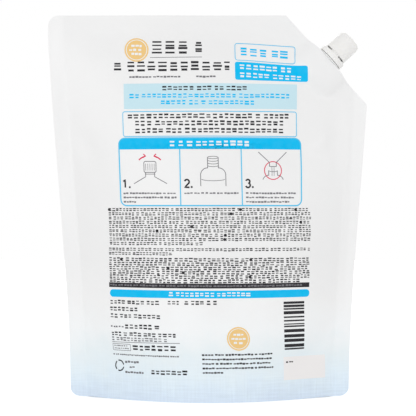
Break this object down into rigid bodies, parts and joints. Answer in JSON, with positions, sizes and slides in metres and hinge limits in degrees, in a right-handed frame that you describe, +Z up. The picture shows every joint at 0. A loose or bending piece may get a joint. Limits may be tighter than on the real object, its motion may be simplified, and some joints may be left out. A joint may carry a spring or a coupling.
{
  "type": "body wash refill",
  "caption": "Full stand-up refill pouch of laminated film with a gusseted base, and a spout with a screw cap and tamper band welded into its cut corner.",
  "frame": {"origin": "middle of the base, on the surface that the pouch stands on", "axes": "+Z up; +X to the right as the printed rear side is seen, towards the corner with the spout; -Y out of that printed side"},
  "size_m": [0.207, 0.0764, 0.2475],
  "materials": {
    "film": "soft gloss white laminate, pale blue towards the base",
    "spout_plastic": "natural white polyethylene, moulded",
    "cap_plastic": "natural white polyethylene, moulded"
  },
  "bodies": {
    "bag": {"pouch": "film", "spout": "spout_plastic"},
    "band": {"tamper_band": "cap_plastic"},
    "screw_cap": {"cap": "cap_plastic"}
  },
  "joints": [
    {"name": "band_turn", "type": "hinge", "parent": "bag", "child": "band", "pos_m": [0.07821, 0, 0.21926], "axis": [0.7408, 0, 0.6717], "range_deg": [0, 900]},
    {"name": "cap_rise", "type": "slide", "parent": "band", "child": "screw_cap", "axis": [0.7408, 0, 0.6717], "range_m": [0, 0.0151]}
  ],
  "couplings": [
    {"joint": "cap_rise", "follows": "band_turn", "m_per_rad": 0.00095493}
  ]
}
